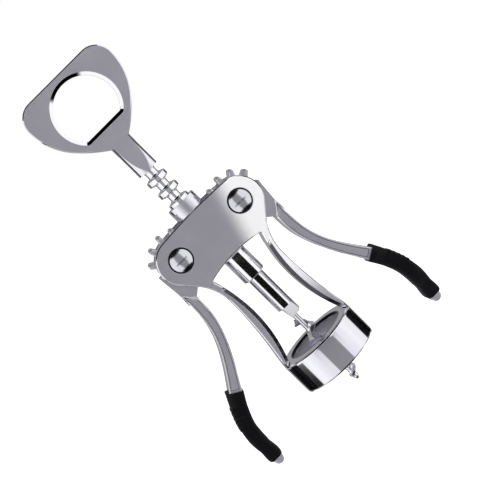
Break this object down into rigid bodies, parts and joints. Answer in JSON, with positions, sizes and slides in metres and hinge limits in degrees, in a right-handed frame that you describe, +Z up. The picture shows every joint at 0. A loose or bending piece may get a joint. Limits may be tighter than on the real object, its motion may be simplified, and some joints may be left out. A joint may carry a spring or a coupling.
{
  "type": "double lever corkscrew",
  "caption": "Winged corkscrew: a bell frame with geared levers that lift a rack, a rotating handle with a cap opener, and an auger worm.",
  "frame": {"origin": "centre of the bell's flat bottom rim, where it rests on a bottle's mouth", "axes": "+Z up the tool's axis towards the handle, -Y out of the front plate, +X towards the right lever seen from the front"},
  "size_m": [0.1118, 0.0406, 0.1935],
  "materials": {
    "satin_chrome": "satin chrome plate on cast zinc",
    "polished_chrome": "polished chrome plate",
    "steel": "bright drawn steel",
    "grip_rubber": "matte black moulded rubber",
    "dark_plastic": "matte black moulded plastic"
  },
  "bodies": {
    "frame": {"frame": "satin_chrome", "bell_liner": "dark_plastic", "right_pivot_pin": "polished_chrome", "left_pivot_pin": "polished_chrome", "right_pivot_cap": "polished_chrome", "left_pivot_cap": "polished_chrome"},
    "left_lever": {"left_lever": "satin_chrome", "left_grip": "grip_rubber", "left_hub_washers": "steel"},
    "right_lever": {"right_lever": "satin_chrome", "right_grip": "grip_rubber", "right_hub_washers": "steel"},
    "rack": {"rack": "polished_chrome"},
    "spindle": {"handle": "satin_chrome", "handle_pin": "steel", "spindle_rod": "steel", "thrust_washer": "steel", "stop_barrel": "polished_chrome", "worm_socket": "polished_chrome", "worm": "steel"}
  },
  "joints": [
    {"name": "left_lever_swing", "type": "hinge", "parent": "frame", "child": "left_lever", "pos_m": [-0.0186, 0, 0.0847], "axis": [0, 1, 0], "range_deg": [-15, 145]},
    {"name": "right_lever_swing", "type": "hinge", "parent": "frame", "child": "right_lever", "pos_m": [0.0186, 0, 0.0847], "axis": [0, -1, 0], "range_deg": [-15, 145]},
    {"name": "rack_slide", "type": "slide", "parent": "frame", "child": "rack", "axis": [0, 0, -1], "range_m": [-0.0038, 0.0355]},
    {"name": "spindle_turn", "type": "hinge", "parent": "rack", "child": "spindle", "pos_m": [0, 0, 0.1], "axis": [0, 0, 1], "continuous": true}
  ],
  "couplings": [
    {"joint": "right_lever_swing", "follows": "left_lever_swing", "ratio": 1},
    {"joint": "rack_slide", "follows": "left_lever_swing", "m_per_rad": 0.013926}
  ]
}
